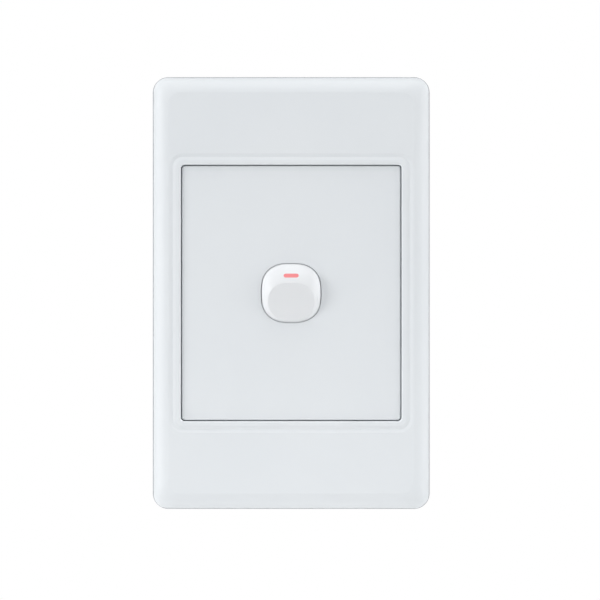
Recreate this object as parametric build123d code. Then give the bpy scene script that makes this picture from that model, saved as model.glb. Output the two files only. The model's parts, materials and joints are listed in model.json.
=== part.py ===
from build123d import *
import math
import os

# Lever light switch for one gang. Lengths are millimetres.
# X is to the viewer's right, Z is up, and the front faces -Y.
# The origin is on the wall plane, midway between the two fixing slots.

# Clearances
SEAT_GAP = 0.1
RUNNING_GAP = 0.05
HOOK_GAP = 0.25

# Front panel
PANEL_WIDTH = 59.0
PANEL_HEIGHT = 68.6
PANEL_CORNER = 0.8
PANEL_FRONT = -8.5
PANEL_THICK = 2.0
PANEL_WALL = 1.8
PANEL_EDGE = 0.3
PANEL_GAP = 0.27
FLANGE_OVERLAP = 0.6
FLANGE_THICK = 1.2
RIB_THICK = 1.4
RIB_DEPTH = 2.1
RIB_X = 9.0
RIB_Z = 12.0

# Surround
SURROUND_WIDTH = 75.0
SURROUND_HEIGHT = 117.0
SURROUND_CORNER = 4.2
SURROUND_PROUD = 0.7
SURROUND_WALL = 2.2
FRONT_WALL = 2.0
EDGE_RUN = 4.6
EDGE_DROP = 4.0
EDGE_STEPS = (0, 12, 24, 36, 48, 60, 72, 84)
CORNER_LOSS = 0.15
WINDOW_ROUND = 0.45
SKIRT_WALL = 1.6
SKIRT_DEPTH = 3.8
GROOVE_OFFSET = 2.2
GROOVE_HALF = 0.9
GROOVE_DEPTH = 0.25
GROOVE_CORNER = 2.8
FOOT_LEDGE = 0.3
FOOT_HEIGHT = 1.2
STEP_WIDTH = 2.0
STEP_DEPTH = 3.6
STIFFENER_X = 20.0
STIFFENER_DEPTH = 2.6

# Yoke
YOKE_MARGIN = 3.3
YOKE_THICK = 1.2
YOKE_CORNER = 3.0
LIP_THICK = 1.1
LIP_GAP = 0.4
LIP_RISE = 2.2
LIP_SHORT = 4.3
FIXING_SPACING = 84.0
FIXING_SLOT_LENGTH = 6.6
FIXING_SLOT_RADIUS = 2.15

# Hooks of the surround and of the panel, which pass through slots in the yoke
HOOK_WIDTH = 8.0
HOOK_THICK = 1.5
HOOK_REACH = 1.7
HOOK_BARB = 0.8
SURROUND_HOOK_X = 8.0
PANEL_HOOK_X = 18.5

# Lever: a barrel about the pivot, cut by one flat facet
PIVOT_DEPTH = 6.5
BARREL_RADIUS = 10.1
BARREL_HALF = 8.0
END_RUN = 6.75
END_DROP = 4.25
FACET_DISTANCE = 8.71
FACET_EDGE = 0.35
LEVER_WALL = 1.6
LEVER_GAP = 0.25
LEVER_TILT = 15.0
LEVER_SKIRT = 2.5
EAR_RADIUS = 2.8
WEB_THICK = 1.6
TRUNNION_RADIUS = 1.5
TRUNNION_LENGTH = 3.55
STEM_RADIUS = 2.9
STEM_END = 5.0
BORE_DEPTH = 9.5
MARK_LENGTH = 4.1
MARK_WIDTH = 1.2
MARK_DEPTH = 0.6
MARK_ANGLE = 42.7

# Plunger and spring, measured along the lever's stem from the pivot
PLUNGER_RADIUS = 1.7
PLUNGER_START = 1.5
NOSE_RADIUS = 1.2
NOSE_CENTRE = 9.0
NOSE_TAPER = 0.6
NOSE_LENGTH = 1.2
NOSE_GAP = 0.05
SPRING_WIRE = 0.2
SPRING_TURNS = 6

# Contact rocker, turned by the plunger
ROCKER_DISTANCE = 11.0
ROCKER_TILT = 8.0
ROCKER_HALF_WIDTH = 2.25
ROCKER_THICK = 0.9
ROCKER_ARM = 9.8
TROUGH_HALF = 3.0
TROUGH_EASE = 0.3
ROCKER_PIN = 0.6
TIP_RADIUS = 1.6
TIP_HEIGHT = 1.0
TIP_OFFSET = 8.0
TIP_EDGE = 0.35
CONTACT_GAP = 0.06

# Strips and terminals
FLOOR_DEPTH = 5.0
STRIP_THICK = 1.0
STRIP_HALF = 2.2
BRACKET_EAR = 1.0
BRACKET_EAR_HALF = 2.0
BRACKET_EAR_FRONT = 1.4
ANVIL_HALF = 2.3
PILLAR_HALF = 4.0
PILLAR_DEPTH = 8.4
PILLAR_EDGE = 0.3
WIRE_SET_BACK = 2.9
WIRE_RADIUS = 1.75
WIRE_FUNNEL = 0.5
CLAMP_RADIUS = 1.7
CLAMP_HEAD_RADIUS = 2.4
CLAMP_HEAD = 1.9
HEAD_GAP = 0.15

# Pivot frame and base
LEVER_SIDE_GAP = 0.4
LEVER_END_GAP = 0.6
CHEEK = 4.05
FRAME_END = 4.8
FRAME_FLANGE = 1.5
FRAME_FLANGE_THICK = 1.2
BASE_WALL = 1.0
BASE_END_WALL = 2.4
BASE_FLANGE = 3.0
BASE_FLANGE_PROUD = 1.4
BASE_FLOOR = 3.4
BASE_EDGE = 0.8
CAVITY_SIDE = 1.05
CAVITY_END = 2.2
POCKET_WALL = 1.4
PANEL_SINK = 0.7
STOP_WIDTH = 1.8
STOP_DEPTH = 2.05

# Screws
MODULE_SCREW_X = 10.5
MODULE_SCREW_RADIUS = 1.3
MODULE_HEAD_RADIUS = 2.7
MODULE_HEAD = 1.9
MODULE_SCREW_LENGTH = 11.0
EARTH_CLAMP = 7.4
EARTH_CLAMP_THICK = 1.2
EARTH_WIRE_ROOM = 1.0
EARTH_LIP = 1.1
EARTH_SCREW_RADIUS = 1.9
EARTH_HEAD_RADIUS = 3.4
EARTH_HEAD = 2.2
EARTH_NUT = 3.5
EARTH_NUT_THICK = 2.4
EARTH_TAIL = 1.2

# Sizes and places that follow from the values above
SURROUND_FRONT = PANEL_FRONT - SURROUND_PROUD
CROWN_WIDTH = SURROUND_WIDTH - 2 * FOOT_LEDGE
CROWN_HEIGHT = SURROUND_HEIGHT - 2 * FOOT_LEDGE
CROWN_CORNER = SURROUND_CORNER - FOOT_LEDGE
WINDOW_WIDTH = PANEL_WIDTH + 2 * PANEL_GAP
WINDOW_HEIGHT = PANEL_HEIGHT + 2 * PANEL_GAP
WINDOW_CORNER = PANEL_CORNER + PANEL_GAP
SKIRT_BACK = SURROUND_FRONT + SKIRT_DEPTH
PANEL_BACK = PANEL_FRONT + PANEL_THICK
FLANGE_FRONT = SKIRT_BACK + 2 * SEAT_GAP
YOKE_WIDTH = PANEL_WIDTH + 2 * (LIP_GAP + LIP_THICK)
YOKE_HEIGHT = SURROUND_HEIGHT - 2 * (SURROUND_WALL + YOKE_MARGIN)
SURROUND_HOOK_Z = WINDOW_HEIGHT / 2 + SKIRT_WALL + (HOOK_THICK + HOOK_BARB) / 2
PANEL_HOOK_Z = PANEL_HEIGHT / 2 - HOOK_GAP - HOOK_THICK / 2
PIVOT_Y = PANEL_FRONT + PIVOT_DEPTH
ROCKER_Y = PIVOT_Y + ROCKER_DISTANCE
FLOOR_Y = ROCKER_Y + FLOOR_DEPTH
STRIP_FRONT = FLOOR_Y - STRIP_THICK
FRAME_OPEN_X = BARREL_HALF + LEVER_SIDE_GAP
FRAME_OPEN_Z = BARREL_RADIUS + LEVER_END_GAP
FRAME_HALF_X = FRAME_OPEN_X + CHEEK
FRAME_HALF_Z = FRAME_OPEN_Z + FRAME_END
FLANGE_HALF_X = FRAME_HALF_X + FRAME_FLANGE
FLANGE_HALF_Z = FRAME_HALF_Z + FRAME_FLANGE
BEARING_END = BARREL_HALF + TRUNNION_LENGTH + LEVER_SIDE_GAP
CAVITY_HALF_X = FRAME_OPEN_X + CAVITY_SIDE
CAVITY_HALF_Z = ROCKER_ARM + CAVITY_END
PILLAR_Z = CAVITY_HALF_Z + POCKET_WALL + SEAT_GAP + PILLAR_HALF
PILLAR_BACK = FLOOR_Y + PILLAR_DEPTH
WIRE_Y = FLOOR_Y + WIRE_SET_BACK
BASE_BACK = PILLAR_BACK + CLAMP_HEAD + 0.2
BASE_HALF_X = FLANGE_HALF_X + BASE_WALL
BASE_HALF_Z = PILLAR_Z + PILLAR_HALF + SEAT_GAP + BASE_END_WALL
BODY_HALF_X = BASE_HALF_X - BASE_FLANGE_PROUD
MODULE_SCREW_Z = FLANGE_HALF_Z + MODULE_HEAD_RADIUS + 0.5
EARTH_X = -(BASE_HALF_X + 2 * SEAT_GAP + EARTH_CLAMP / 2)
BORE_RADIUS = PLUNGER_RADIUS + RUNNING_GAP
BORE_FLOOR = STEM_END - BORE_DEPTH
TROUGH_FLOOR = NOSE_CENTRE + NOSE_RADIUS + NOSE_GAP - ROCKER_DISTANCE


def facing(y):
    """Sketch plane at depth y, seen from the front."""
    return Plane(origin=(0, y, 0), x_dir=(1, 0, 0), z_dir=(0, -1, 0))


def slab(sketch, back, front):
    """Front-view outline carried from one depth to a nearer one."""
    return extrude(facing(back) * sketch, amount=back - front)


def block(x_range, y_range, z_range):
    """Box between two limits on each axis, given in either order."""
    ranges = [sorted(r) for r in (x_range, y_range, z_range)]
    size = [b - a for a, b in ranges]
    centre = [(a + b) / 2 for a, b in ranges]
    return Pos(*centre) * Box(*size)


def post(x, z, radius, back, front):
    """Round post along Y."""
    return slab(Pos(x, z) * Circle(radius), back, front)


def rod_x(start, end, radius, y=0.0):
    """Round rod along X."""
    return Pos((start + end) / 2, y, 0) * Rot(0, 90, 0) * Cylinder(radius, abs(end - start))


def rod_z(start, end, radius, y=0.0):
    """Round rod along Z."""
    return Pos(0, y, (start + end) / 2) * Cylinder(radius, abs(end - start))


def one_solid(shape):
    """The largest solid of a result, as one part."""
    return Part() + max(shape.solids(), key=lambda s: s.volume)


def save(shape, name):
    """Write one named piece."""
    shape.label = name
    export_step(shape, "parts/" + name + ".step")


# Surround


def groove_cone(offset):
    """Frustum from the groove's line moved by offset at the front to the line itself below."""
    width = WINDOW_WIDTH + 2 * GROOVE_OFFSET
    height = WINDOW_HEIGHT + 2 * GROOVE_OFFSET
    wide = RectangleRounded(width + 2 * offset, height + 2 * offset, GROOVE_CORNER + offset)
    deep = RectangleRounded(width, height, GROOVE_CORNER)
    top = (facing(SURROUND_FRONT) * wide).face()
    bottom = (facing(SURROUND_FRONT + GROOVE_DEPTH) * deep).face()
    return loft([top, bottom], ruled=True)


def crown():
    """Front of the surround, rolled over at its edges along a quarter ellipse."""
    full = math.sin(math.radians(EDGE_STEPS[-1]))
    sections = []
    for angle in EDGE_STEPS:
        inset = EDGE_RUN * (1 - math.cos(math.radians(angle)))
        rise = EDGE_DROP * math.sin(math.radians(angle)) / full
        outline = RectangleRounded(
            CROWN_WIDTH - 2 * inset,
            CROWN_HEIGHT - 2 * inset,
            CROWN_CORNER - CORNER_LOSS * inset,
        )
        sections.append((facing(SURROUND_FRONT + EDGE_DROP - rise) * outline).face())
    return loft(sections)


def hook(x, z, root, side):
    """Hook that runs back through the yoke and turns outward or inward along Z."""
    half = HOOK_WIDTH / 2
    outer = z + side * HOOK_THICK / 2
    arm = block((x - half, x + half), (root, HOOK_REACH), (z - side * HOOK_THICK / 2, outer))
    corners = ((RUNNING_GAP, outer), (RUNNING_GAP, outer + side * HOOK_BARB), (HOOK_REACH, outer))
    face = make_face(Plane.YZ * Polyline(*corners, close=True))
    return arm + Pos(x - half, 0, 0) * extrude(face, amount=HOOK_WIDTH, dir=(1, 0, 0))


def hook_slot(x, z, side):
    """Cut in the yoke that lets a hook and its barb through."""
    half = HOOK_WIDTH / 2 + HOOK_GAP
    near = z - side * (HOOK_THICK / 2 + HOOK_BARB + HOOK_GAP)
    far = z + side * (HOOK_THICK / 2 + HOOK_GAP)
    return block((x - half, x + half), (1, -3 * YOKE_THICK), (near, far))


def make_surround():
    foot = RectangleRounded(SURROUND_WIDTH, SURROUND_HEIGHT, SURROUND_CORNER)
    side = RectangleRounded(CROWN_WIDTH, CROWN_HEIGHT, CROWN_CORNER)
    body = slab(side, 0, SURROUND_FRONT + EDGE_DROP) + crown()
    body += slab(foot, 0, -FOOT_HEIGHT)
    body -= groove_cone(GROOVE_HALF) - groove_cone(-GROOVE_HALF)
    window = RectangleRounded(WINDOW_WIDTH, WINDOW_HEIGHT, WINDOW_CORNER)
    skirt = RectangleRounded(
        WINDOW_WIDTH + 2 * SKIRT_WALL, WINDOW_HEIGHT + 2 * SKIRT_WALL, WINDOW_CORNER + SKIRT_WALL
    )
    inner_width = SURROUND_WIDTH - 2 * SURROUND_WALL
    inner_height = SURROUND_HEIGHT - 2 * SURROUND_WALL
    wide = RectangleRounded(inner_width, inner_height, SURROUND_CORNER - SURROUND_WALL)
    narrow = Rectangle(inner_width - 2 * STEP_WIDTH, inner_height - 2 * STEP_WIDTH)
    ceiling = SURROUND_FRONT + FRONT_WALL
    step = SURROUND_FRONT + STEP_DEPTH
    body -= slab(wide, 0, SKIRT_BACK)
    body -= slab(wide - skirt, SKIRT_BACK, step)
    body -= slab(narrow - skirt, step, ceiling)
    body -= slab(window, 0, 2 * SURROUND_FRONT)
    rim = [
        e
        for e in body.edges()
        if abs(e.center().Y - SURROUND_FRONT) < 0.01
        and abs(e.center().X) < WINDOW_WIDTH / 2 + 0.01
        and abs(e.center().Z) < WINDOW_HEIGHT / 2 + 0.01
    ]
    body = fillet(rim, WINDOW_ROUND)
    for end in (-1, 1):
        stiffener_z = (
            end * (WINDOW_HEIGHT / 2 + FLANGE_OVERLAP + 2 * SEAT_GAP),
            end * (inner_height / 2 + SURROUND_WALL / 2),
        )
        for x in (-STIFFENER_X, STIFFENER_X):
            x_range = (x - RIB_THICK / 2, x + RIB_THICK / 2)
            body += block(x_range, (ceiling - SEAT_GAP, ceiling + STIFFENER_DEPTH), stiffener_z)
        for x in (-SURROUND_HOOK_X, SURROUND_HOOK_X):
            body += hook(x, end * SURROUND_HOOK_Z, ceiling - SEAT_GAP, end)
    return body


# Front panel


def make_front_panel():
    outline = RectangleRounded(PANEL_WIDTH, PANEL_HEIGHT, PANEL_CORNER)
    inner_width = PANEL_WIDTH - 2 * PANEL_WALL
    inner_height = PANEL_HEIGHT - 2 * PANEL_WALL
    body = slab(outline, -YOKE_THICK, PANEL_FRONT)
    body = fillet(body.faces().sort_by(Axis.Y)[0].edges(), PANEL_EDGE)
    flange = RectangleRounded(
        WINDOW_WIDTH + 2 * FLANGE_OVERLAP, WINDOW_HEIGHT + 2 * FLANGE_OVERLAP, WINDOW_CORNER
    )
    body += slab(flange, FLANGE_FRONT + FLANGE_THICK, FLANGE_FRONT)
    body -= slab(Rectangle(inner_width, inner_height), 0, PANEL_BACK)
    rib_y = (PANEL_BACK - SEAT_GAP, PANEL_BACK + RIB_DEPTH)
    for side in (-1, 1):
        rib_z = (side * (FRAME_HALF_Z + 2.0), side * (inner_height + PANEL_WALL) / 2)
        rib_x = (side * (FRAME_HALF_X + 2.0), side * (inner_width + PANEL_WALL) / 2)
        for place in (-1, 1):
            x = place * RIB_X
            body += block((x - RIB_THICK / 2, x + RIB_THICK / 2), rib_y, rib_z)
            z = place * RIB_Z
            body += block(rib_x, rib_y, (z - RIB_THICK / 2, z + RIB_THICK / 2))
            body += hook(place * PANEL_HOOK_X, side * PANEL_HOOK_Z, PANEL_BACK, -side)
    body -= Pos(0, PIVOT_Y, 0) * barrel(LEVER_GAP)
    return one_solid(body)


# Yoke


def make_yoke():
    plate = slab(RectangleRounded(YOKE_WIDTH, YOKE_HEIGHT, YOKE_CORNER), 0, -YOKE_THICK)
    opening = RectangleRounded(
        2 * (FRAME_HALF_X + HOOK_GAP), 2 * (FRAME_HALF_Z + HOOK_GAP), PANEL_CORNER
    )
    plate -= slab(opening, 1, -3 * YOKE_THICK)
    run = FIXING_SLOT_LENGTH - 2 * FIXING_SLOT_RADIUS
    slot = SlotCenterToCenter(run, 2 * FIXING_SLOT_RADIUS, rotation=90)
    lip_half = PANEL_HEIGHT / 2 - LIP_SHORT
    for side in (-1, 1):
        plate -= slab(Pos(0, side * FIXING_SPACING / 2) * slot, 1, -3 * YOKE_THICK)
        for place in (-1, 1):
            plate -= hook_slot(place * SURROUND_HOOK_X, side * SURROUND_HOOK_Z, side)
            plate -= hook_slot(place * PANEL_HOOK_X, side * PANEL_HOOK_Z, -side)
        x, z = side * MODULE_SCREW_X, side * MODULE_SCREW_Z
        plate -= post(x, z, MODULE_SCREW_RADIUS + 2 * HEAD_GAP, 1, -3 * YOKE_THICK)
        lip_x = (side * (YOKE_WIDTH / 2 - LIP_THICK), side * YOKE_WIDTH / 2)
        plate += block(lip_x, (-YOKE_THICK - LIP_RISE, -YOKE_THICK / 2), (-lip_half, lip_half))
    plate -= post(EARTH_X, 0, EARTH_SCREW_RADIUS + HEAD_GAP, 1, -3 * YOKE_THICK)
    return plate


# Pivot frame and base


def make_pivot_frame():
    body = slab(RectangleRounded(2 * FRAME_HALF_X, 2 * FRAME_HALF_Z, 0.8), 0, PANEL_BACK + SEAT_GAP)
    flange = RectangleRounded(2 * FLANGE_HALF_X, 2 * FLANGE_HALF_Z, 1.0)
    body += slab(flange, FRAME_FLANGE_THICK, 0)
    opening = Rectangle(2 * FRAME_OPEN_X, 2 * FRAME_OPEN_Z)
    body -= slab(opening, 2 * FRAME_FLANGE_THICK, 2 * PANEL_BACK)
    bearing = TRUNNION_RADIUS + RUNNING_GAP
    for side in (-1, 1):
        leg_z = (side * (CAVITY_HALF_Z + POCKET_WALL + 0.3), side * (FLANGE_HALF_Z - 0.4))
        body += block((-PILLAR_HALF + 1, PILLAR_HALF - 1), (0, STRIP_FRONT), leg_z)
        inner, outer = side * (FRAME_OPEN_X - 0.5), side * BEARING_END
        body -= rod_x(inner, outer, bearing, y=PIVOT_Y)
        body -= block((inner, outer), (PIVOT_Y, 2 * FRAME_FLANGE_THICK), (-bearing, bearing))
    return body


def make_switch_base():
    flange = RectangleRounded(2 * BASE_HALF_X, 2 * BASE_HALF_Z, 2.0)
    outline = RectangleRounded(2 * BODY_HALF_X, 2 * BASE_HALF_Z - BASE_FLANGE_PROUD, 1.6)
    body = slab(outline, BASE_BACK, 0)
    body = chamfer(body.faces().sort_by(Axis.Y)[-1].edges(), BASE_EDGE)
    body += slab(flange, BASE_FLANGE, 0)
    waist = CAVITY_HALF_Z - SEAT_GAP
    body -= block((-BASE_HALF_X, BASE_HALF_X), (FLOOR_Y + BASE_FLOOR, BASE_BACK + 1), (-waist, waist))
    seat = RectangleRounded(2 * (FLANGE_HALF_X + SEAT_GAP), 2 * (FLANGE_HALF_Z + SEAT_GAP), 1.1)
    body -= slab(seat, FRAME_FLANGE_THICK, -1)
    body -= slab(Rectangle(2 * CAVITY_HALF_X, 2 * CAVITY_HALF_Z), FLOOR_Y, 0)
    pocket = PILLAR_HALF + SEAT_GAP
    for side in (-1, 1):
        body -= sunk_panels(side)
        z = side * PILLAR_Z
        body -= block((-pocket, pocket), (-1, PILLAR_BACK), (z - pocket, z + pocket))
        channel = (side * (CAVITY_HALF_Z - 1), z)
        strip = STRIP_HALF + 2 * SEAT_GAP
        body -= block((-strip, strip), (STRIP_FRONT - 0.6, FLOOR_Y), channel)
        body -= post(0, z, CLAMP_HEAD_RADIUS + HEAD_GAP, BASE_BACK + 1, PILLAR_BACK - 1)
        body -= rod_z(z, side * (BASE_HALF_Z + 2), WIRE_RADIUS + WIRE_FUNNEL, y=WIRE_Y)
        screw_end = MODULE_SCREW_LENGTH - YOKE_THICK + 1
        x, screw_z = side * MODULE_SCREW_X, side * MODULE_SCREW_Z
        body -= post(x, screw_z, MODULE_SCREW_RADIUS, screw_end, -1)
        tongue_x = (side * (CAVITY_HALF_X + SEAT_GAP), side * (BEARING_END - SEAT_GAP))
        tongue_y = (PIVOT_Y + TRUNNION_RADIUS + 3 * RUNNING_GAP, FRAME_FLANGE_THICK + 0.5)
        body += block(tongue_x, tongue_y, (SEAT_GAP - TRUNNION_RADIUS, TRUNNION_RADIUS - SEAT_GAP))
    anvil_z = (TIP_OFFSET - ANVIL_HALF, TIP_OFFSET + ANVIL_HALF)
    anvil = (fixed_tip_front() + TIP_HEIGHT + STRIP_THICK, FLOOR_Y + 0.5)
    body += block((-STRIP_HALF - 0.4, STRIP_HALF + 0.4), anvil, anvil_z)
    stop_y = stop_front()
    stop_z = (-ROCKER_ARM - 0.4, STOP_WIDTH - ROCKER_ARM - 0.4)
    body += block((-CAVITY_HALF_X - 0.5, CAVITY_HALF_X + 0.5), (stop_y, stop_y + STOP_DEPTH), stop_z)
    return body


def sunk_panels(side):
    """Row of shallow moulded recesses along one side of the base."""
    pitch = 2 * BASE_HALF_Z / 4
    cut = Part()
    for n in range(4):
        z = (n - 1.5) * pitch
        x_range = (side * (BODY_HALF_X - PANEL_SINK), side * (BODY_HALF_X + 1))
        cut += block(x_range, (BASE_FLANGE + 1.5, FLOOR_Y + 2), (z - pitch / 3, z + pitch / 3))
    return cut


# Lever and what rides in it


def barrel(grow):
    """Barrel about the pivot axis, grown evenly by a clearance."""
    run = END_RUN + grow
    drop = END_DROP + grow
    centre_x = BARREL_HALF - END_RUN
    centre_z = BARREL_RADIUS - END_DROP
    half = centre_x + run
    top = centre_z + drop
    foot = Polyline((-half, centre_z), (-half, 0), (half, 0), (half, centre_z))
    right = EllipticalCenterArc((centre_x, centre_z), run, drop, 0, arc_size=90)
    left = EllipticalCenterArc((-centre_x, centre_z), run, drop, 90, arc_size=90)
    lines = Curve() + [foot, right, Line((centre_x, top), (-centre_x, top)), left]
    return revolve(make_face(Plane.XZ * lines), Axis.X, 360)


def in_front_of(y):
    """Large block of everything nearer than a depth."""
    reach = 3 * BARREL_RADIUS
    return block((-reach, reach), (-reach, y), (-reach, reach))


def at_pivot(shape):
    """Lever frame to the switch, in the pose of the photo."""
    return Pos(0, PIVOT_Y, 0) * Rot(LEVER_TILT, 0, 0) * shape


def make_lever():
    outer = barrel(0) - in_front_of(-FACET_DISTANCE)
    outer = fillet(outer.faces().sort_by(Axis.Y)[0].edges(), FACET_EDGE)
    inner = barrel(-LEVER_WALL) - in_front_of(LEVER_WALL - FACET_DISTANCE)
    shell = (outer - inner) & in_front_of(-LEVER_SKIRT)
    root = LEVER_WALL / 2 - FACET_DISTANCE
    inner_x = BARREL_HALF - LEVER_WALL / 2
    for side in (-1, 1):
        ear_x = (side * (BARREL_HALF - LEVER_WALL), side * BARREL_HALF)
        shell += block(ear_x, (-LEVER_SKIRT - 1.0, 0), (-EAR_RADIUS, EAR_RADIUS))
        shell += rod_x(ear_x[0], ear_x[1], EAR_RADIUS)
        trunnion_end = side * (BARREL_HALF + TRUNNION_LENGTH)
        shell += rod_x(side * inner_x, trunnion_end, TRUNNION_RADIUS)
    shell += block((-inner_x, inner_x), (root, -1.0), (-WEB_THICK / 2, WEB_THICK / 2))
    shell += post(0, 0, STEM_RADIUS, STEM_END, root)
    shell -= post(0, 0, BORE_RADIUS, STEM_END + 1, BORE_FLOOR)
    return shell - mark_bar()


def mark_bar():
    """Round-ended bar standing out of the barrel's upper curve."""
    outline = SlotOverall(MARK_LENGTH, MARK_WIDTH)
    bar = slab(outline, MARK_DEPTH - BARREL_RADIUS, -BARREL_RADIUS - 1)
    return Rot(-MARK_ANGLE, 0, 0) * bar


def make_on_mark():
    return one_solid(mark_bar() & barrel(0))


def make_plunger():
    shoulder = NOSE_CENTRE - NOSE_LENGTH - NOSE_TAPER
    tip = NOSE_CENTRE + NOSE_RADIUS
    side_line = Polyline(
        (0, PLUNGER_START),
        (PLUNGER_RADIUS, PLUNGER_START),
        (PLUNGER_RADIUS, shoulder),
        (NOSE_RADIUS, shoulder + NOSE_TAPER),
        (NOSE_RADIUS, NOSE_CENTRE),
    )
    nose = RadiusArc((NOSE_RADIUS, NOSE_CENTRE), (0, tip), -NOSE_RADIUS)
    face = make_face(Curve() + [side_line, nose, Line((0, tip), (0, PLUNGER_START))])
    return revolve(face, Axis.Y, 360)


def make_plunger_spring():
    start = BORE_FLOOR + SPRING_WIRE + RUNNING_GAP
    length = PLUNGER_START - SPRING_WIRE - RUNNING_GAP - start
    coil_radius = BORE_RADIUS - SPRING_WIRE - HOOK_GAP
    helix = Helix(length / SPRING_TURNS, length, coil_radius)
    section = Plane(helix @ 0, z_dir=helix % 0) * Circle(SPRING_WIRE)
    return Pos(0, start, 0) * Rot(-90, 0, 0) * sweep(section, path=helix)


# Contact rocker


def at_rocker(shape):
    """Rocker frame to the switch, with the contact closed."""
    return Pos(0, ROCKER_Y, 0) * Rot(-ROCKER_TILT, 0, 0) * shape


def trough_radius():
    """Radius that keeps the plunger's nose just clear all through the travel."""
    lever = math.radians(LEVER_TILT)
    rocker = math.radians(ROCKER_TILT)
    along = NOSE_CENTRE * math.cos(lever) - ROCKER_DISTANCE
    across = NOSE_CENTRE * math.sin(lever)
    end_y = along * math.cos(rocker) - across * math.sin(rocker)
    end_z = along * math.sin(rocker) + across * math.cos(rocker)
    rise = NOSE_CENTRE - ROCKER_DISTANCE - end_y
    return (end_z**2 + rise**2) / (2 * rise) + NOSE_RADIUS + TROUGH_EASE


def arm_front():
    """Depth of the rocker arms' front face in the rocker's frame."""
    radius = trough_radius()
    return TROUGH_FLOOR - radius + math.sqrt(radius**2 - TROUGH_HALF**2)


def make_contact_rocker():
    front = arm_front()
    back = front + ROCKER_THICK
    floor = TROUGH_FLOOR + ROCKER_THICK
    outer = trough_radius() + ROCKER_THICK
    back_half = math.sqrt(outer**2 - (outer - (floor - back)) ** 2)
    trough = ThreePointArc((front, -TROUGH_HALF), (TROUGH_FLOOR, 0), (front, TROUGH_HALF))
    under = ThreePointArc((back, back_half), (floor, 0), (back, -back_half))
    upper = Polyline(
        (front, TROUGH_HALF), (front, ROCKER_ARM), (back, ROCKER_ARM), (back, back_half)
    )
    lower = Polyline(
        (back, -back_half), (back, -ROCKER_ARM), (front, -ROCKER_ARM), (front, -TROUGH_HALF)
    )
    face = make_face(Plane.YZ * (Curve() + [trough, upper, under, lower]))
    strip = extrude(face, amount=ROCKER_HALF_WIDTH, dir=(1, 0, 0), both=True)
    pin_end = ROCKER_HALF_WIDTH + HOOK_GAP + BRACKET_EAR + 2 * HOOK_GAP
    return strip + rod_x(-pin_end, pin_end, ROCKER_PIN)


def make_moving_tip():
    back = arm_front() + ROCKER_THICK
    tip = post(0, TIP_OFFSET, TIP_RADIUS, back + TIP_HEIGHT, back)
    return fillet(tip.faces().sort_by(Axis.Y)[-1].edges(), TIP_EDGE)


def fixed_tip_front():
    """Depth of the fixed contact's face, just clear of the closed moving tip."""
    return at_rocker(make_moving_tip()).bounding_box().max.Y + CONTACT_GAP


def stop_front():
    """Depth of the moulded stop, just clear of the rocker's lower arm when open."""
    tilt = math.radians(ROCKER_TILT)
    back = arm_front() + ROCKER_THICK
    return ROCKER_Y + back * math.cos(tilt) + ROCKER_ARM * math.sin(tilt) + CONTACT_GAP


# Strips, contacts and terminals


def make_pivot_bracket():
    ear_in = ROCKER_HALF_WIDTH + HOOK_GAP + SEAT_GAP
    ear_out = ear_in + BRACKET_EAR
    half = BRACKET_EAR_HALF
    body = block((-ear_out, ear_out), (STRIP_FRONT, FLOOR_Y), (-half, half))
    body += block((-STRIP_HALF, STRIP_HALF), (STRIP_FRONT, FLOOR_Y), (-PILLAR_Z - 3, half))
    notch = ROCKER_PIN + RUNNING_GAP
    for side in (-1, 1):
        ear_y = (ROCKER_Y - BRACKET_EAR_FRONT, FLOOR_Y)
        body += block((side * ear_in, side * ear_out), ear_y, (-half, half))
    body -= rod_x(-ear_out - 1, ear_out + 1, notch, y=ROCKER_Y)
    mouth = (ROCKER_Y - BRACKET_EAR_FRONT - 1, ROCKER_Y)
    return body - block((-ear_out - 1, ear_out + 1), mouth, (-notch, notch))


def make_load_strip():
    raised = fixed_tip_front() + TIP_HEIGHT
    start = TIP_OFFSET - ANVIL_HALF + SEAT_GAP
    riser = TIP_OFFSET + ANVIL_HALF + SEAT_GAP
    x_range = (-STRIP_HALF, STRIP_HALF)
    body = block(x_range, (raised, raised + STRIP_THICK), (start, riser + STRIP_THICK))
    body += block(x_range, (raised, FLOOR_Y), (riser, riser + STRIP_THICK))
    body += block(x_range, (STRIP_FRONT, FLOOR_Y), (riser, PILLAR_Z + 3))
    return body


def make_fixed_tip():
    front = fixed_tip_front()
    tip = post(0, TIP_OFFSET, TIP_RADIUS, front + TIP_HEIGHT, front)
    return fillet(tip.faces().sort_by(Axis.Y)[0].edges(), TIP_EDGE)


def make_pillar(side):
    span = (-PILLAR_HALF, PILLAR_HALF)
    body = block(span, (FLOOR_Y, PILLAR_BACK), span)
    body = chamfer(body.edges(), PILLAR_EDGE)
    body -= rod_z(-2 * PILLAR_HALF, 2 * PILLAR_HALF, WIRE_RADIUS, y=WIRE_Y)
    body -= post(0, 0, CLAMP_RADIUS, PILLAR_BACK + 1, WIRE_Y)
    return Pos(0, 0, side * PILLAR_Z) * body


def slotted_screw(head_radius, head_height, shank_radius, shank_length, slot_width):
    """Slotted screw along -Y, with the underside of its head at the origin."""
    head = post(0, 0, head_radius, head_height, 0)
    head = fillet(head.faces().sort_by(Axis.Y)[-1].edges(), 0.3)
    slot_x = (-2 * head_radius, 2 * head_radius)
    slot_z = (-slot_width / 2, slot_width / 2)
    head -= block(slot_x, (head_height * 0.45, 2 * head_height), slot_z)
    shank = post(0, 0, shank_radius, 0, -shank_length)
    return head + chamfer(shank.faces().sort_by(Axis.Y)[0].edges(), 0.35)


def make_clamp_screw(side):
    length = PILLAR_BACK - WIRE_Y - WIRE_RADIUS - SEAT_GAP
    screw = slotted_screw(CLAMP_HEAD_RADIUS, CLAMP_HEAD, CLAMP_RADIUS, length, 0.9)
    return Pos(0, PILLAR_BACK, side * PILLAR_Z) * screw


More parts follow.
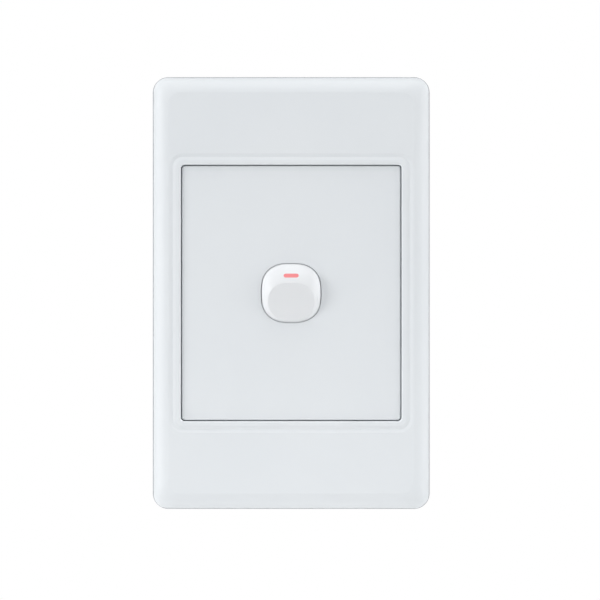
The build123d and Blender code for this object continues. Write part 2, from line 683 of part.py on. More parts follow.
def make_module_screws():
    screw = slotted_screw(
        MODULE_HEAD_RADIUS, MODULE_HEAD, MODULE_SCREW_RADIUS, MODULE_SCREW_LENGTH, 0.8
    )
    group = Part()
    for side in (-1, 1):
        place = Pos(side * MODULE_SCREW_X, -YOKE_THICK, side * MODULE_SCREW_Z)
        group += place * Rot(0, 0, 180) * screw
    return group


# Earth terminal


def make_earth_screw():
    head_seat = EARTH_WIRE_ROOM + EARTH_CLAMP_THICK
    length = head_seat + YOKE_THICK + EARTH_NUT_THICK + EARTH_TAIL
    screw = slotted_screw(EARTH_HEAD_RADIUS, EARTH_HEAD, EARTH_SCREW_RADIUS, length, 1.0)
    return Pos(EARTH_X, head_seat, 0) * screw


def make_earth_clamp():
    half = EARTH_CLAMP / 2
    plate_back = EARTH_WIRE_ROOM + EARTH_CLAMP_THICK
    body = slab(RectangleRounded(EARTH_CLAMP, EARTH_CLAMP, 0.8), plate_back, EARTH_WIRE_ROOM)
    for side in (-1, 1):
        lip_z = (side * (half - EARTH_LIP), side * half)
        body += block((-half, half), (0, plate_back - 0.5), lip_z)
    body -= post(0, 0, EARTH_SCREW_RADIUS + HEAD_GAP, plate_back + 1, -1)
    return Pos(EARTH_X, 0, 0) * body


def make_earth_nut():
    outline = RegularPolygon(EARTH_NUT, 6, major_radius=False)
    nut = slab(outline, -YOKE_THICK, -YOKE_THICK - EARTH_NUT_THICK)
    nut -= post(0, 0, EARTH_SCREW_RADIUS, 0, -2 * YOKE_THICK - EARTH_NUT_THICK)
    return Pos(EARTH_X, 0, 0) * nut


os.makedirs("parts", exist_ok=True)
save(make_surround(), "surround")
save(make_front_panel(), "front_panel")
save(make_yoke(), "yoke")
save(make_pivot_frame(), "pivot_frame")
save(make_switch_base(), "switch_base")
save(at_pivot(make_lever()), "lever")
save(at_pivot(make_on_mark()), "on_mark")
save(at_pivot(make_plunger()), "plunger")
save(at_pivot(make_plunger_spring()), "plunger_spring")
save(at_rocker(make_contact_rocker()), "contact_rocker")
save(at_rocker(make_moving_tip()), "moving_tip")
save(make_pivot_bracket(), "pivot_bracket")
save(make_load_strip(), "load_strip")
save(make_fixed_tip(), "fixed_tip")
save(make_pillar(-1), "common_pillar")
save(make_pillar(1), "load_pillar")
save(make_clamp_screw(-1), "common_screw")
save(make_clamp_screw(1), "load_screw")
save(make_module_screws(), "module_screws")
save(make_earth_screw(), "earth_screw")
save(make_earth_clamp(), "earth_clamp")
save(make_earth_nut(), "earth_nut")
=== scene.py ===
# %% [markdown]
# This lesson dresses a wall-mounted lever light switch. The shapes come from
# a CAD model that is loaded as a fixed frame in metres. X runs to the viewer's
# right, Z is up and the front faces -Y. Only the finishes, a few fine metal
# parts, the light and the camera are made here.

import json
import math

import bpy
from mathutils import Matrix, Vector


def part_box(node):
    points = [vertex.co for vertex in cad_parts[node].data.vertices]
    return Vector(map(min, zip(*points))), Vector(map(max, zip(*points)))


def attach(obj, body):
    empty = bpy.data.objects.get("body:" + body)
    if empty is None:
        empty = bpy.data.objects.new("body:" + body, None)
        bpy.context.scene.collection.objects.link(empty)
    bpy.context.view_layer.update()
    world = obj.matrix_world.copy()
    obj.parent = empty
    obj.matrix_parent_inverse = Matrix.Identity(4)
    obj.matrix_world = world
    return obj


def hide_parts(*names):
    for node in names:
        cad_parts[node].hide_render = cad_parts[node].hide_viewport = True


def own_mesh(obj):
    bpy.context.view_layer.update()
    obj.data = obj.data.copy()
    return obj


MM = 0.001
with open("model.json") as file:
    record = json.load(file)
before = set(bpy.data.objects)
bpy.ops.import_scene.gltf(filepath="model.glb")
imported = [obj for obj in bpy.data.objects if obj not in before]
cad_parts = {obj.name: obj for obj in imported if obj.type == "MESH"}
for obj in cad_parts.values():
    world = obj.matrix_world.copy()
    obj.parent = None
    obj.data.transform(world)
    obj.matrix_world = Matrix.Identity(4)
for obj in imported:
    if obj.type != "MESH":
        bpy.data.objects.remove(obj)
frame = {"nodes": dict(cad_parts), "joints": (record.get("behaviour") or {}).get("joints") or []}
nodes = frame["nodes"]
joints = {joint["name"]: joint for joint in frame["joints"]}
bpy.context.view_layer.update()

# %% [markdown]
# Materials and generated shapes are both trees of nodes. An input of a node is
# either set to a plain value or linked to another node's output, so one small
# helper does both. A second one maps a value from one range to another, which
# is wanted again and again.

# %% Helpers for node trees


def feed(tree, socket, value):
    """Link a socket to another node's output, or set it to a plain value."""
    if isinstance(value, bpy.types.NodeSocket):
        tree.links.new(value, socket)
    else:
        socket.default_value = value


def ramp(tree, value, start, end, first=0.0, last=1.0):
    """Level that goes from first to last while a value goes from start to end."""
    node = tree.nodes.new("ShaderNodeMapRange")
    feed(tree, node.inputs["Value"], value)
    feed(tree, node.inputs["From Min"], start)
    feed(tree, node.inputs["From Max"], end)
    feed(tree, node.inputs["To Min"], first)
    feed(tree, node.inputs["To Max"], last)
    return node.outputs["Result"]


print("tree helpers are ready")

# %% [markdown]
# Every finish on the switch is a Principled shader with some noise on it.
# Image textures would need files and UV maps, and the loaded meshes have none,
# so each pattern is worked out from Object coordinates. Three helpers start a
# material, add a noise, and spread that noise between two values.

# %% Start a finish
NOISE_LOW = 0.3
NOISE_HIGH = 0.7


def new_finish(name):
    """Empty Principled material, with its tree, its shader and its coordinates."""
    finish = bpy.data.materials.new(name)
    finish.use_nodes = True
    tree = finish.node_tree
    shader = tree.nodes["Principled BSDF"]
    place = tree.nodes.new("ShaderNodeTexCoord")
    return finish, tree, shader, place.outputs["Object"]


def add_noise(tree, place, scale, detail=2.0, stretch=(1.0, 1.0, 1.0)):
    """Noise over the object, finer along an axis where the stretch is larger."""
    mapping = tree.nodes.new("ShaderNodeMapping")
    feed(tree, mapping.inputs["Vector"], place)
    feed(tree, mapping.inputs["Scale"], stretch)
    noise = tree.nodes.new("ShaderNodeTexNoise")
    feed(tree, noise.inputs["Vector"], mapping.outputs["Vector"])
    feed(tree, noise.inputs["Scale"], scale)
    feed(tree, noise.inputs["Detail"], detail)
    return noise.outputs["Fac"]


def spread(tree, noise, low, high):
    """The middle of a noise, spread evenly between two values."""
    return ramp(tree, noise, NOISE_LOW, NOISE_HIGH, low, high)


finishes = {}
print("a finish can start")

# %% [markdown]
# A noise is only a number from 0 to 1. It changes a finish where it blends two
# tones or becomes a relief, so there is a helper for each. The relief could be
# cut into the mesh, but bump is enough for grain and marks that are only one or
# two hundredths of a millimetre deep.

# %% Tones and relief


def opaque(tone):
    """A tone as the four numbers that a colour socket takes."""
    return (*tone, 1.0)


def two_tones(tree, factor, first, second):
    """Colour that goes from one colour to another with a factor from 0 to 1."""
    mix = tree.nodes.new("ShaderNodeMix")
    mix.data_type = "RGBA"
    feed(tree, mix.inputs["Factor"], factor)
    tones = [socket for socket in mix.inputs if socket.type == "RGBA"]
    feed(tree, tones[0], first)
    feed(tree, tones[1], second)
    return [socket for socket in mix.outputs if socket.type == "RGBA"][0]


def add_bump(tree, shader, height, strength, depth):
    """Fine relief of a height pattern, with its depth in metres."""
    bump = tree.nodes.new("ShaderNodeBump")
    feed(tree, bump.inputs["Strength"], strength)
    feed(tree, bump.inputs["Distance"], depth)
    feed(tree, bump.inputs["Height"], height)
    feed(tree, shader.inputs["Normal"], bump.outputs["Normal"])


print("tones and relief are ready")

# %% [markdown]
# The surround, the panel and the lever are moulded in white plastic. The mould
# leaves a grain too fine to see as dots: it only softens the gloss. One even
# colour would do for it, but a slow change of tone and of roughness keeps the
# large flat faces from looking painted.

# %% A moulded plastic
TONE_SCALE = 35.0
PATCH_SCALE = 260.0
PATCH_DETAIL = 3.0
SMOOTHER = 0.04
ROUGHER = 0.05
GRAIN_DETAIL = 1.0
GRAIN_STRENGTH = 0.12
GRAIN_DEPTH = 0.02 * MM
PLASTIC_IOR = 1.49


def moulded_plastic(name, tone, shade, roughness, grain):
    """Plastic with two near tones, uneven gloss and a mould grain."""
    finish, tree, shader, place = new_finish(name)
    slow = spread(tree, add_noise(tree, place, TONE_SCALE), 0.0, 1.0)
    colour = two_tones(tree, slow, opaque(tone), opaque(shade))
    feed(tree, shader.inputs["Base Color"], colour)
    patches = add_noise(tree, place, PATCH_SCALE, PATCH_DETAIL)
    uneven = spread(tree, patches, roughness - SMOOTHER, roughness + ROUGHER)
    feed(tree, shader.inputs["Roughness"], uneven)
    dots = add_noise(tree, place, grain, GRAIN_DETAIL)
    add_bump(tree, shader, dots, GRAIN_STRENGTH, GRAIN_DEPTH)
    feed(tree, shader.inputs["IOR"], PLASTIC_IOR)
    return finish


print("plastics take a tone, a shade, a roughness and the scale of the grain")

# %% [markdown]
# The white parts share one cool white, and the lever is a little paler, as in
# the photograph. The mark on the lever is red. The parts behind the panel are
# a grey plastic, and the plunger is black nylon.

# %% Moulded plastics
WHITE = (0.745, 0.775, 0.800)
WHITE_SHADE = (0.730, 0.762, 0.790)
LEVER = (0.768, 0.784, 0.802)
LEVER_SHADE = (0.754, 0.772, 0.792)
PLASTICS = {
    "cover_white": (WHITE, WHITE_SHADE, 0.56, 5200.0),
    "panel_white": (WHITE, WHITE_SHADE, 0.56, 6400.0),
    "lever_white": (LEVER, LEVER_SHADE, 0.50, 7000.0),
    "mark_red": ((0.85, 0.24, 0.25), (0.81, 0.22, 0.23), 0.50, 7000.0),
    "base_grey": ((0.60, 0.60, 0.57), (0.55, 0.55, 0.53), 0.55, 3600.0),
    "plunger_nylon": ((0.10, 0.10, 0.11), (0.08, 0.08, 0.08), 0.45, 5000.0),
}
for name, values in PLASTICS.items():
    finishes[name] = moulded_plastic(name, *values)
print("made", len(PLASTICS), "plastics")

# %% [markdown]
# A small ledge runs round the foot of the surround, where it meets the wall. Its corner gets a
# greyer tone, which is painted shade, as if the wall shaded the step. It draws the thin grey
# outline round the plate. A strip of its own would be one more piece, so the painted shade is a
# tone in the cover's own finish. The step is found by its depth, and the inside of the cover is
# left without it.

# %% Painted shade in the step of the cover
STEP_DEPTH = -1.2 * MM
SHADE_REACH = 0.35 * MM
COVER_INSIDE = {"X": 35.6 * MM, "Z": 56.6 * MM}
# Grey tone of the painted shade in the step.
STEP_SHADE_TONE = (0.42, 0.44, 0.46)


def math_node(tree, operation, first, second=0.0):
    """One sum of two values, each a number or another node's output."""
    node = tree.nodes.new("ShaderNodeMath")
    node.operation = operation
    feed(tree, node.inputs[0], first)
    feed(tree, node.inputs[1], second)
    return node.outputs["Value"]


def paint_step_shade(finish):
    """Painted shade: a greyer tone in the corner of the step, on the outside only."""
    tree = finish.node_tree
    base = tree.nodes["Principled BSDF"].inputs["Base Color"]
    clean = base.links[0].from_socket
    place = tree.nodes.new("ShaderNodeTexCoord")
    parts = tree.nodes.new("ShaderNodeSeparateXYZ")
    feed(tree, parts.inputs["Vector"], place.outputs["Object"])
    depth = math_node(tree, "SUBTRACT", parts.outputs["Y"], STEP_DEPTH)
    off = math_node(tree, "ABSOLUTE", depth)
    near = ramp(tree, off, 0.0, SHADE_REACH, 1.0, 0.0)
    outside = 0.0
    for axis, inside in COVER_INSIDE.items():
        reach = math_node(tree, "ABSOLUTE", parts.outputs[axis])
        past = math_node(tree, "GREATER_THAN", reach, inside)
        outside = math_node(tree, "MAXIMUM", past, outside)
    # This mask marks where the painted shade goes: near the step's depth and outside the cover's
    # inside.
    step_shade_mask = math_node(tree, "MULTIPLY", near, outside)
    feed(tree, base, two_tones(tree, step_shade_mask, clean, opaque(STEP_SHADE_TONE)))


# Paint shade into the step of the cover.
paint_step_shade(finishes["cover_white"])
# Prints how far in front of the wall the painted shade lies.
print("painted_shade lies", -STEP_DEPTH / MM, "mm in front of the wall")

# %% [markdown]
# The yoke is pressed from zinc-plated sheet. Zinc shows soft crystal patches
# and the fine lines of the rolled strip, so a Voronoi cell pattern changes the
# tone, and a noise that is drawn out along Z gives the lines.

# %% Plated sheet
CRYSTAL_SCALE = 640.0
LINE_SCALE = 900.0
LINE_DETAIL = 2.0
LINE_STRETCH = (6.0, 6.0, 0.15)
SHEET_SMOOTHEST = 0.28
SHEET_ROUGHEST = 0.46
LINE_STRENGTH = 0.10
LINE_DEPTH = 0.02 * MM
ZINC = (0.60, 0.62, 0.63)
ZINC_SHADE = (0.54, 0.56, 0.58)


def plated_sheet(name, tone, shade):
    """Zinc-plated steel with crystal patches and rolling lines along Z."""
    finish, tree, shader, place = new_finish(name)
    crystals = tree.nodes.new("ShaderNodeTexVoronoi")
    feed(tree, crystals.inputs["Vector"], place)
    feed(tree, crystals.inputs["Scale"], CRYSTAL_SCALE)
    patch = spread(tree, crystals.outputs["Color"], 0.0, 1.0)
    colour = two_tones(tree, patch, opaque(tone), opaque(shade))
    feed(tree, shader.inputs["Base Color"], colour)
    lines = add_noise(tree, place, LINE_SCALE, LINE_DETAIL, LINE_STRETCH)
    uneven = spread(tree, lines, SHEET_SMOOTHEST, SHEET_ROUGHEST)
    feed(tree, shader.inputs["Roughness"], uneven)
    add_bump(tree, shader, lines, LINE_STRENGTH, LINE_DEPTH)
    feed(tree, shader.inputs["Metallic"], 1.0)
    return finish


finishes["zinc_sheet"] = plated_sheet("zinc_sheet", ZINC, ZINC_SHADE)
print("made", finishes["zinc_sheet"].name)

# %% [markdown]
# The terminals are turned and stamped brass, the contacts are silver and the
# screws are plated steel. A clean metal of one tone would look like a drawing.
# Handling and air leave metals a little patchy, so a noise moves each one
# between a clean tone and a dull one.

# %% Small metal parts
DULL_SCALE = 420.0
DULL_DETAIL = 4.0
MARK_DETAIL = 2.0
MARK_STRETCH = (1.0, 5.0, 1.0)
POLISHED = 0.06
SCUFFED = 0.10
MARK_STRENGTH = 0.10
MARK_DEPTH = 0.01 * MM
METALS = {
    "terminal_brass": ((0.80, 0.60, 0.28), (0.62, 0.43, 0.17), 0.28, 2600.0),
    "screw_zinc": ((0.70, 0.71, 0.70), (0.52, 0.53, 0.53), 0.30, 3400.0),
    "contact_silver": ((0.90, 0.89, 0.86), (0.70, 0.68, 0.64), 0.20, 3800.0),
    "spring_wire": ((0.58, 0.58, 0.58), (0.42, 0.42, 0.43), 0.26, 5200.0),
}


def worn_metal(name, clean, dull, roughness, mark_scale):
    """Bare or plated metal with dull patches and fine working marks."""
    finish, tree, shader, place = new_finish(name)
    patches = add_noise(tree, place, DULL_SCALE, DULL_DETAIL)
    dullness = spread(tree, patches, 0.0, 1.0)
    colour = two_tones(tree, dullness, opaque(clean), opaque(dull))
    feed(tree, shader.inputs["Base Color"], colour)
    marks = add_noise(tree, place, mark_scale, MARK_DETAIL, MARK_STRETCH)
    uneven = spread(tree, marks, roughness - POLISHED, roughness + SCUFFED)
    feed(tree, shader.inputs["Roughness"], uneven)
    add_bump(tree, shader, marks, MARK_STRENGTH, MARK_DEPTH)
    feed(tree, shader.inputs["Metallic"], 1.0)
    return finish


for name, values in METALS.items():
    finishes[name] = worn_metal(name, *values)
print("made", len(METALS), "metals")

# %% [markdown]
# Each loaded node keeps its mesh and gets one of the finishes. A material can
# hang on an object or on its mesh. Here it goes on the mesh, because every node
# has a mesh of its own.

# %% Dress the nodes
NODE_FINISHES = {
    "surround": "cover_white",
    "front_panel": "panel_white",
    "lever": "lever_white",
    "on_mark": "mark_red",
    "yoke": "zinc_sheet",
    "pivot_frame": "base_grey",
    "switch_base": "base_grey",
    "plunger": "plunger_nylon",
    "plunger_spring": "spring_wire",
    "contact_rocker": "terminal_brass",
    "moving_tip": "contact_silver",
    "pivot_bracket": "terminal_brass",
    "load_strip": "terminal_brass",
    "fixed_tip": "contact_silver",
    "common_pillar": "terminal_brass",
    "load_pillar": "terminal_brass",
    "common_screw": "screw_zinc",
    "load_screw": "screw_zinc",
    "module_screws": "screw_zinc",
    "earth_screw": "terminal_brass",
    "earth_clamp": "terminal_brass",
    "earth_nut": "terminal_brass",
}
for name, finish_name in NODE_FINISHES.items():
    mesh = nodes[name].data
    mesh.materials.clear()
    mesh.materials.append(finishes[finish_name])
print("dressed", len(NODE_FINISHES), "nodes")

# %% [markdown]
# Two things on the switch follow a spiral: the spring under the plunger and the
# threads of the screws. They could be built point by point, but a Geometry Nodes
# tree says the rule once and takes the sizes as inputs. Every tree starts and
# ends in the same way, so two helpers do that.

# %% Start and end a tree


def new_tree(name, sizes):
    """Geometry tree with named float inputs, a material input and one output."""
    tree = bpy.data.node_groups.new(name, "GeometryNodeTree")
    interface = tree.interface
    interface.new_socket("Geometry", in_out="INPUT", socket_type="NodeSocketGeometry")
    for size in sizes:
        interface.new_socket(size, in_out="INPUT", socket_type="NodeSocketFloat")
    interface.new_socket("Material", in_out="INPUT", socket_type="NodeSocketMaterial")
    interface.new_socket("Geometry", in_out="OUTPUT", socket_type="NodeSocketGeometry")
    start = tree.nodes.new("NodeGroupInput")
    end = tree.nodes.new("NodeGroupOutput")
    return tree, start.outputs, end.inputs["Geometry"]


def end_tree(tree, geometry, material, out):
    """Make the result real, set its material and hand it out."""
    real = tree.nodes.new("GeometryNodeRealizeInstances")
    paint = tree.nodes.new("GeometryNodeSetMaterial")
    feed(tree, real.inputs["Geometry"], geometry)
    feed(tree, paint.inputs["Geometry"], real.outputs["Geometry"])
    feed(tree, paint.inputs["Material"], material)
    feed(tree, out, paint.outputs["Geometry"])


print("a tree can start and end")

# %% [markdown]
# A tree works inside a modifier, but a finished piece is a plain mesh at the
# origin. So the tree runs on an empty seed object, its result is kept as a mesh
# and moved to its place, and the seed goes. The modifier's inputs are set by
# their identifiers, because it doesn't know them by name.

# %% From a tree to a mesh


def grow(name, tree, values, place):
    """Plain mesh object from a tree, with its sizes set and its place in the mesh."""
    seed = bpy.data.objects.new(name + "_seed", bpy.data.meshes.new(name + "_seed"))
    bpy.context.scene.collection.objects.link(seed)
    modifier = seed.modifiers.new("tree", "NODES")
    modifier.node_group = tree
    for item in tree.interface.items_tree:
        if item.in_out == "INPUT" and item.name in values:
            modifier[item.identifier] = values[item.name]
    ready = seed.evaluated_get(bpy.context.evaluated_depsgraph_get())
    mesh = bpy.data.meshes.new_from_object(ready)
    bpy.data.objects.remove(seed)
    mesh.transform(place)
    mesh.name = name
    piece = bpy.data.objects.new(name, mesh)
    bpy.context.scene.collection.objects.link(piece)
    return piece


print("a tree can grow a piece")

# %% [markdown]
# A spring and a thread differ only in how the spiral rises and in the section
# that runs along it. So both trees share these two steps: a spiral of one
# radius, and a section with a few sides that is swept along it.

# %% Spiral and sweep


def add_spiral(tree, radius, turns, height, steps):
    """Spiral of one radius along +Z, with so many steps in a turn."""
    spiral = tree.nodes.new("GeometryNodeCurveSpiral")
    feed(tree, spiral.inputs["Resolution"], steps)
    feed(tree, spiral.inputs["Rotations"], turns)
    feed(tree, spiral.inputs["Start Radius"], radius)
    feed(tree, spiral.inputs["End Radius"], radius)
    feed(tree, spiral.inputs["Height"], height)
    return spiral.outputs["Curve"]


def sweep(tree, path, radius, sides):
    """Bar along a path, with a regular section and closed ends."""
    section = tree.nodes.new("GeometryNodeCurvePrimitiveCircle")
    feed(tree, section.inputs["Resolution"], sides)
    feed(tree, section.inputs["Radius"], radius)
    bar = tree.nodes.new("GeometryNodeCurveToMesh")
    feed(tree, bar.inputs["Curve"], path)
    feed(tree, bar.inputs["Profile Curve"], section.outputs["Curve"])
    feed(tree, bar.inputs["Fill Caps"], True)
    return bar.outputs["Mesh"]


print("spiral and sweep are ready")

# %% [markdown]
# The spring under the plunger is a compression spring with closed ends: its
# last turns lie wire on wire, so it stands flat. A plain helix can't show that.
# In this tree the spiral starts flat, and each point is lifted by how far along
# the wire it is: evenly by one wire thickness a turn, and only the middle of the
# wire gets the rest of the length.

# %% Tree for a coil
COIL_STEPS = 40
WIRE_SIDES = 14


def coil_tree():
    """Compression spring along +Z, from its first wire centre at the origin."""
    sizes = ("Wire Radius", "Coil Radius", "Turns", "Length", "Closed Share")
    tree, given, out = new_tree("closed_coil", sizes)
    flat = add_spiral(tree, given["Coil Radius"], given["Turns"], 0.0, COIL_STEPS)
    along = tree.nodes.new("GeometryNodeSplineParameter").outputs["Factor"]
    thickness = math_node(tree, "MULTIPLY", given["Wire Radius"], 2.0)
    closed = math_node(tree, "MULTIPLY", thickness, given["Turns"])
    extra = math_node(tree, "SUBTRACT", given["Length"], closed)
    far = math_node(tree, "SUBTRACT", 1.0, given["Closed Share"])
    middle = ramp(tree, along, given["Closed Share"], far)
    even = math_node(tree, "MULTIPLY", closed, along)
    opened = math_node(tree, "MULTIPLY", extra, middle)
    height = tree.nodes.new("ShaderNodeCombineXYZ")
    feed(tree, height.inputs["Z"], math_node(tree, "ADD", even, opened))
    lift = tree.nodes.new("GeometryNodeSetPosition")
    feed(tree, lift.inputs["Geometry"], flat)
    feed(tree, lift.inputs["Offset"], height.outputs["Vector"])
    wire = sweep(tree, lift.outputs["Geometry"], given["Wire Radius"], WIRE_SIDES)
    end_tree(tree, wire, given["Material"], out)
    return tree


closed_coil = coil_tree()
print("coil tree has", len(closed_coil.nodes), "nodes")

# %% [markdown]
# The spring sits in the bore of the lever's stem, between the bore's floor and
# the plunger. The plunger's joint gives the stem's direction, because the plunger
# slides along it, and the lever's joint gives the pivot, from which the bore is
# measured. The small gaps at its ends keep it clear of both.

# %% Where the spring sits
BORE_FLOOR = -4.5 * MM
PLUNGER_START = 1.5 * MM
WIRE = 0.2 * MM
END_GAP = 0.05 * MM
pivot = Vector(joints["lever_rock"]["pos_m"])
stem = -Vector(joints["plunger_slide"]["axis"]).normalized()
turn = Vector((0.0, 0.0, 1.0)).rotation_difference(stem).to_matrix().to_4x4()
first_wire = BORE_FLOOR + WIRE + END_GAP
last_wire = PLUNGER_START - WIRE - END_GAP
spring_place = Matrix.Translation(pivot + stem * first_wire) @ turn
print("spring of", round((last_wire - first_wire) / MM, 2), "mm between its last wires")

# %% [markdown]
# The coil tree grows the spring, which takes the place of the CAD's plain helix and rides on the
# lever. Only the wire is shaded smooth, and its cut ends stay flat.

# %% The plunger spring
COIL_RADIUS = 1.3 * MM
COIL_TURNS = 7.0
CLOSED_SHARE = 0.13
QUAD = 4
spring_sizes = {
    "Wire Radius": WIRE,
    "Coil Radius": COIL_RADIUS,
    "Turns": COIL_TURNS,
    "Length": last_wire - first_wire,
    "Closed Share": CLOSED_SHARE,
    "Material": finishes["spring_wire"],
}
spring = grow("closed_spring", closed_coil, spring_sizes, spring_place)
for face in spring.data.polygons:
    face.use_smooth = len(face.vertices) == QUAD
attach(spring, "lever")
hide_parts("plunger_spring")
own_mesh(spring)
print("spring has", len(spring.data.polygons), "faces")

# %% [markdown]
# The CAD screws have plain shanks. A thread is a ridge that runs round the
# shank in a helix, so this tree sweeps a small square along a spiral. Its inner
# side is sunk in the shank, and the corner that stands out is the ridge. The
# same tree serves every screw with other sizes.

# %% Tree for a thread
THREAD_STEPS = 28
RIDGE_SIDES = 4


def thread_tree():
    """Ridge of a screw thread along +Z, from the origin."""
    sizes = ("Shank Radius", "Pitch", "Length", "Ridge")
    tree, given, out = new_tree("thread_ridge", sizes)
    turns = math_node(tree, "DIVIDE", given["Length"], given["Pitch"])
    helix = add_spiral(tree, given["Shank Radius"], turns, given["Length"], THREAD_STEPS)
    ridge = sweep(tree, helix, given["Ridge"], RIDGE_SIDES)
    end_tree(tree, ridge, given["Material"], out)
    return tree


thread_ridge = thread_tree()
print("thread tree has", len(thread_ridge.nodes), "nodes")

# %% [markdown]
# A terminal screw shows its thread where it leaves the brass and presses on
# the wire, and the earth screw shows it past its nut. The module screws need
# none, because their shanks are buried in the plastic base. Each place is read
# from the node's own box, and the thread stops short of the bevelled tip.

# %% Threads on the screws
PITCH = 0.7 * MM
RIDGE = 0.14 * MM
RIDGE_SINK = 0.04 * MM
TIP = 0.5 * MM
TERMINAL_SHANK = 1.7 * MM
TERMINAL_BARE = 1.6 * MM
EARTH_SHANK = 1.9 * MM
EARTH_BARE = 1.9 * MM
MIDDLE_X = 0.0
QUARTER_TURN = math.radians(90.0)


def middle_of(name):
    """Centre of a node's box."""
    low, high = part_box(name)
    return (low + high) / 2


def add_thread(screw, x, shank, bare, finish):
    """Thread along -Y on the bare end of a screw, riding on the fixed body."""
    sizes = {
        "Shank Radius": shank - RIDGE_SINK,
        "Pitch": PITCH,
        "Length": bare - TIP,
        "Ridge": RIDGE,
        "Material": finish,
    }
    start = Vector((x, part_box(screw)[0].y + bare, middle_of(screw).z))
    forward = Matrix.Rotation(QUARTER_TURN, 4, "X")
    place = Matrix.Translation(start) @ forward
    piece = grow(screw + "_thread", thread_ridge, sizes, place)
    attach(piece, "body")
    print(piece.name, len(piece.data.polygons), "faces")
    return piece


for name in ("common_screw", "load_screw"):
    piece = add_thread(name, MIDDLE_X, TERMINAL_SHANK, TERMINAL_BARE, finishes["screw_zinc"])
earth_x = middle_of("earth_screw").x
piece = add_thread("earth_screw", earth_x, EARTH_SHANK, EARTH_BARE, finishes["terminal_brass"])

# %% [markdown]
# The photograph is a straight front view with hardly any perspective. A camera
# without perspective would come close, but a long lens far away keeps the trace
# that is there. The plate is a little left of the picture's middle and a little
# above it. The width of the picture at the plate sets the lens.

# %% Camera
PICTURE_WIDTH = 162.2 * MM
PICTURE_MIDDLE = (2.38 * MM, -1.89 * MM)
CAMERA_DISTANCE = 1.5
PLATE_EDGE_Y = -5.2 * MM
SENSOR_WIDTH = 36.0
CLIP_END = 20.0
view = bpy.data.cameras.new("camera")
view.sensor_width = SENSOR_WIDTH
view.lens = SENSOR_WIDTH * CAMERA_DISTANCE / PICTURE_WIDTH
view.clip_end = CLIP_END
camera = bpy.data.objects.new("camera", view)
camera.location = (PICTURE_MIDDLE[0], PLATE_EDGE_Y - CAMERA_DISTANCE, PICTURE_MIDDLE[1])
camera.rotation_euler = (QUARTER_TURN, 0.0, 0.0)
bpy.context.scene.collection.objects.link(camera)
bpy.context.scene.camera = camera
print("lens of", round(view.lens), "mm")

# %% [markdown]
# A pale floor lies well below the picture's lower edge, so a low light has room
# above it. It is one square, painted as the plastics are, only rougher.

# %% Floor
FLOOR_Z = -0.32
FLOOR_HALF = 0.55
FLOOR_PAINT = ((0.86, 0.86, 0.86), (0.84, 0.84, 0.84), 0.80, 300.0)
corners = []
for x, y in ((-1, -1), (1, -1), (1, 1), (-1, 1)):
    corners.append((x * FLOOR_HALF, y * FLOOR_HALF, FLOOR_Z))
floor_mesh = bpy.data.meshes.new("floor")
floor_mesh.from_pydata(corners, [], [(0, 1, 2, 3)])
floor = bpy.data.objects.new("floor", floor_mesh)
bpy.context.scene.collection.objects.link(floor)
floor_paint = moulded_plastic("floor_paint", *FLOOR_PAINT)
floor_mesh.materials.append(floor_paint)
print("floor lies at", FLOOR_Z)

# %% [markdown]
# A hard edge of the floor would cross some views. A much larger floor would
# change the light, so the floor fades into the white instead: towards its edge
# it turns clear, and it is clear from below. It does so for the camera alone,
# so its light on the switch and the shadow on it stay.

# %% Floor that fades out
FADE_START = 0.15
FADE_END = 0.50
WITHOUT_HEIGHT = (1.0, 1.0, 0.0)


def fade_out(finish):
    """For camera rays only, clear the floor towards its edge and from below."""
    tree = finish.node_tree
    place = tree.nodes.new("ShaderNodeTexCoord")
    flat = tree.nodes.new("ShaderNodeVectorMath")
    flat.operation = "MULTIPLY"
    feed(tree, flat.inputs[0], place.outputs["Object"])
    feed(tree, flat.inputs[1], WITHOUT_HEIGHT)
    reach = tree.nodes.new("ShaderNodeVectorMath")
    reach.operation = "LENGTH"
    feed(tree, reach.inputs[0], flat.outputs["Vector"])
    edge = ramp(tree, reach.outputs["Value"], FADE_START, FADE_END)
    below = tree.nodes.new("ShaderNodeNewGeometry").outputs["Backfacing"]
    camera_ray = tree.nodes.new("ShaderNodeLightPath").outputs["Is Camera Ray"]
    gone = math_node(tree, "MULTIPLY", math_node(tree, "MAXIMUM", edge, below), camera_ray)
    clear = tree.nodes.new("ShaderNodeBsdfTransparent")
    mix = tree.nodes.new("ShaderNodeMixShader")
    feed(tree, mix.inputs["Fac"], gone)
    feed(tree, mix.inputs[1], tree.nodes["Principled BSDF"].outputs["BSDF"])
    feed(tree, mix.inputs[2], clear.outputs["BSDF"])
    feed(tree, tree.nodes["Material Output"].inputs["Surface"], mix.outputs["Shader"])


fade_out(floor_paint)
print("floor fades out at", FADE_END)

# %% [markdown]
# The world gives a soft light that comes from the sides: dim in front, to leave
# the shading to the lamps, and dim behind, so that the plate's rim ends in a
# darker line against the white. A picture of a studio could do the same, but a
# direction's Y says how far it points to the front or to the back, so two ramps
# over Y are enough.

# %% Soft light from the sides
FRONT_LEVEL = 0.02
SIDE_LEVEL = 1.04
BACK_LEVEL = 0.02
BACK_TURN = 0.25
PURE_WHITE = (1.0, 1.0, 1.0, 1.0)
world = bpy.data.worlds.new("studio")
world.use_nodes = True
bpy.context.scene.world = world
sky = world.node_tree
towards = sky.nodes.new("ShaderNodeTexCoord")
parts = sky.nodes.new("ShaderNodeSeparateXYZ")
feed(sky, parts.inputs["Vector"], towards.outputs["Generated"])
before = ramp(sky, parts.outputs["Y"], -1.0, 0.0, FRONT_LEVEL, SIDE_LEVEL)
behind = ramp(sky, parts.outputs["Y"], 0.0, BACK_TURN, SIDE_LEVEL, BACK_LEVEL)
soft = sky.nodes.new("ShaderNodeBackground")
feed(sky, soft.inputs["Color"], PURE_WHITE)
feed(sky, soft.inputs["Strength"], math_node(sky, "MINIMUM", before, behind))
print("soft light of", SIDE_LEVEL, "from the sides")

# %% [markdown]
# The photograph has a white background. A white wall would throw more light on
# the switch, so the world is white only for the camera, in reflections and
# through clear parts. Everything else sees the soft light.

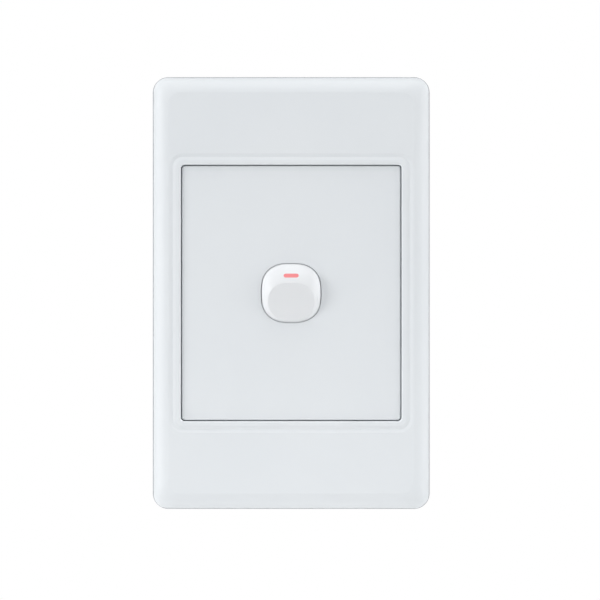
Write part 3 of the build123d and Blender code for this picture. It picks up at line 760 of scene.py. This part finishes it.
# %% White behind the switch
white = sky.nodes["Background"]
feed(sky, white.inputs["Color"], PURE_WHITE)
feed(sky, white.inputs["Strength"], 1.0)
path = sky.nodes.new("ShaderNodeLightPath")
seen = path.outputs["Is Camera Ray"]
for ray in ("Is Glossy Ray", "Is Transmission Ray"):
    seen = math_node(sky, "MAXIMUM", seen, path.outputs[ray])
choose = sky.nodes.new("ShaderNodeMixShader")
feed(sky, choose.inputs["Fac"], seen)
feed(sky, choose.inputs[1], soft.outputs["Background"])
feed(sky, choose.inputs[2], white.outputs["Background"])
feed(sky, sky.nodes["World Output"].inputs["Surface"], choose.outputs["Shader"])
print("world is white for the camera")

# %% [markdown]
# The photograph's key light comes from the left, a little above: the left edge
# is the brightest and the lever throws a short soft shadow to the right. Weaker
# lights from the right, the top and below keep the other edges pale. A last one
# lights the back. It is hidden from reflections, because the flat zinc sheet
# would mirror it. Square area lights are used, because a larger square gives a
# softer shadow. Each has a direction, a distance, a size and a power.

# %% Lights
LIGHTS = {
    "key": ((-0.84, -0.38, 0.09), 1.0, 0.36, 5.6),
    "right": ((1.0, -0.40, 0.0), 1.0, 0.80, 4.8),
    "top": ((0.15, -0.30, 0.95), 1.0, 0.60, 4.3),
    "low_front": ((0.0, -0.115, -0.088), 0.145, 0.10, 0.011),
    "low": ((0.0, -0.35, -1.0), 0.3, 0.12, 0.06),
    "rear": ((0.0, 1.0, 0.05), 1.0, 0.50, 6.0),
}


def soft_box(name, towards, distance, size, power):
    """Square area light that looks at the switch from a direction."""
    lamp = bpy.data.lights.new(name, "AREA")
    lamp.size = size
    lamp.energy = power
    box = bpy.data.objects.new(name, lamp)
    direction = Vector(towards).normalized()
    box.location = direction * distance
    box.rotation_euler = direction.to_track_quat("Z", "Y").to_euler()
    box.visible_camera = False
    bpy.context.scene.collection.objects.link(box)
    return box


boxes = {name: soft_box(name, *values) for name, values in LIGHTS.items()}
boxes["rear"].visible_glossy = False
bpy.context.scene.view_settings.view_transform = "Standard"
print(len(boxes), "soft lights stand round the switch")
